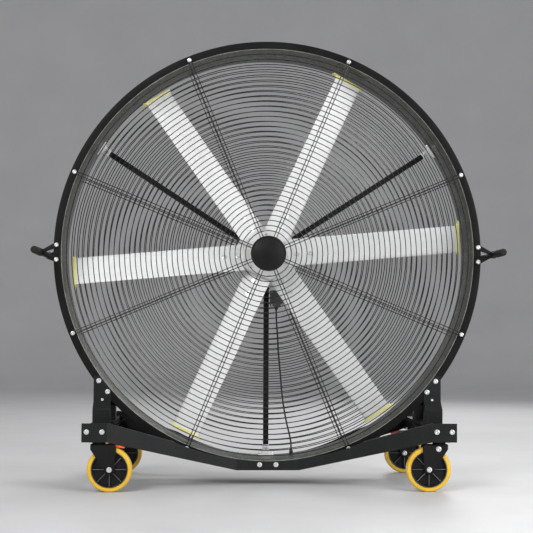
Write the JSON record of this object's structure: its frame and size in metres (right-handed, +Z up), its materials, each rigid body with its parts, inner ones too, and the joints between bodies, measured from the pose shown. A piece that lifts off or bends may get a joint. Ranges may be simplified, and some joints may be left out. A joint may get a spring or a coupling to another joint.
{
  "type": "drum fan",
  "caption": "Mobile drum fan: a flanged steel drum with wire guards, a bladed impeller on a direct drive motor, and a wheeled base with swivel casters and side handles.",
  "frame": {"origin": "on the floor, under the middle of the fan", "axes": "+X to the right and +Y away from someone who faces the outlet, +Z up"},
  "size_m": [2.156, 0.856, 2.077],
  "materials": {
    "drum_paint": "satin",
    "guard_paint": "satin",
    "frame_paint": "satin",
    "zinc_fastener": "satin",
    "strut_foot_metal": "satin",
    "motor_paint": "satin",
    "box_paint": "satin",
    "cable_rubber": "matte",
    "gland_plastic": "matte",
    "blade_aluminium": "satin",
    "fin_plastic": "gloss",
    "grip_rubber": "matte",
    "tread_polyurethane": "satin",
    "core_plastic": "matte",
    "pedal_plastic": "gloss"
  },
  "bodies": {
    "frame": {"caster_plates": "frame_paint", "drum_shell": "drum_paint", "drum_stays": "frame_paint", "frame_bolts": "zinc_fastener", "front_beam": "frame_paint", "front_disc": "guard_paint", "front_guard": "guard_paint", "front_left_column": "frame_paint", "front_right_column": "frame_paint", "guard_bolts": "zinc_fastener", "handle_bolts": "zinc_fastener", "handle_brackets": "frame_paint", "handle_grips": "grip_rubber", "lead_glands": "gland_plastic", "left_handle_bar": "frame_paint", "left_rail": "frame_paint", "motor_lead": "cable_rubber", "motor_stator": "motor_paint", "motor_struts": "frame_paint", "rear_beam": "frame_paint", "rear_disc": "guard_paint", "rear_guard": "guard_paint", "rear_left_column": "frame_paint", "rear_right_column": "frame_paint", "right_handle_bar": "frame_paint", "right_rail": "frame_paint", "strut_feet": "strut_foot_metal", "terminal_box": "box_paint"},
    "impeller": {"rotor_hub": "motor_paint", "blade_bolts": "zinc_fastener", "blade_1": "blade_aluminium", "blade_2": "blade_aluminium", "blade_3": "blade_aluminium", "blade_4": "blade_aluminium", "blade_5": "blade_aluminium", "blade_6": "blade_aluminium", "tip_fin_1": "fin_plastic", "tip_fin_2": "fin_plastic", "tip_fin_3": "fin_plastic", "tip_fin_4": "fin_plastic", "tip_fin_5": "fin_plastic", "tip_fin_6": "fin_plastic"},
    "caster_front_left": {"fork_front_left": "frame_paint", "axle_front_left": "zinc_fastener"},
    "wheel_front_left": {"tread_front_left": "tread_polyurethane", "wheel_core_front_left": "core_plastic"},
    "pedal_front_left": {"brake_pedal_front_left": "pedal_plastic"},
    "caster_front_right": {"fork_front_right": "frame_paint", "axle_front_right": "zinc_fastener"},
    "wheel_front_right": {"tread_front_right": "tread_polyurethane", "wheel_core_front_right": "core_plastic"},
    "caster_rear_left": {"fork_rear_left": "frame_paint", "axle_rear_left": "zinc_fastener"},
    "wheel_rear_left": {"tread_rear_left": "tread_polyurethane", "wheel_core_rear_left": "core_plastic"},
    "caster_rear_right": {"fork_rear_right": "frame_paint", "axle_rear_right": "zinc_fastener"},
    "wheel_rear_right": {"tread_rear_right": "tread_polyurethane", "wheel_core_rear_right": "core_plastic"},
    "pedal_rear_right": {"brake_pedal_rear_right": "pedal_plastic"}
  },
  "joints": [
    {"name": "impeller_spin", "type": "hinge", "parent": "frame", "child": "impeller", "pos_m": [0, 0, 1.077], "axis": [0, 1, 0], "continuous": true},
    {"name": "swivel_front_left", "type": "hinge", "parent": "frame", "child": "caster_front_left", "pos_m": [-0.76, -0.375, 0.2168], "axis": [0, 0, 1], "continuous": true},
    {"name": "roll_front_left", "type": "hinge", "parent": "caster_front_left", "child": "wheel_front_left", "pos_m": [-0.712, -0.375, 0.1], "axis": [0, 1, 0], "continuous": true},
    {"name": "brake_front_left", "type": "hinge", "parent": "caster_front_left", "child": "pedal_front_left", "pos_m": [-0.69, -0.375, 0.206], "axis": [0, 1, 0], "range_deg": [0, 12]},
    {"name": "swivel_front_right", "type": "hinge", "parent": "frame", "child": "caster_front_right", "pos_m": [0.76, -0.375, 0.2168], "axis": [0, 0, 1], "continuous": true},
    {"name": "roll_front_right", "type": "hinge", "parent": "caster_front_right", "child": "wheel_front_right", "pos_m": [0.712, -0.375, 0.1], "axis": [0, 1, 0], "continuous": true},
    {"name": "swivel_rear_left", "type": "hinge", "parent": "frame", "child": "caster_rear_left", "pos_m": [-0.76, 0.375, 0.2168], "axis": [0, 0, 1], "continuous": true},
    {"name": "roll_rear_left", "type": "hinge", "parent": "caster_rear_left", "child": "wheel_rear_left", "pos_m": [-0.712, 0.375, 0.1], "axis": [0, 1, 0], "continuous": true},
    {"name": "swivel_rear_right", "type": "hinge", "parent": "frame", "child": "caster_rear_right", "pos_m": [0.76, 0.375, 0.2168], "axis": [0, 0, 1], "continuous": true},
    {"name": "roll_rear_right", "type": "hinge", "parent": "caster_rear_right", "child": "wheel_rear_right", "pos_m": [0.712, 0.375, 0.1], "axis": [0, 1, 0], "continuous": true},
    {"name": "brake_rear_right", "type": "hinge", "parent": "caster_rear_right", "child": "pedal_rear_right", "pos_m": [0.69, 0.375, 0.206], "axis": [0, -1, 0], "range_deg": [0, 12]}
  ]
}
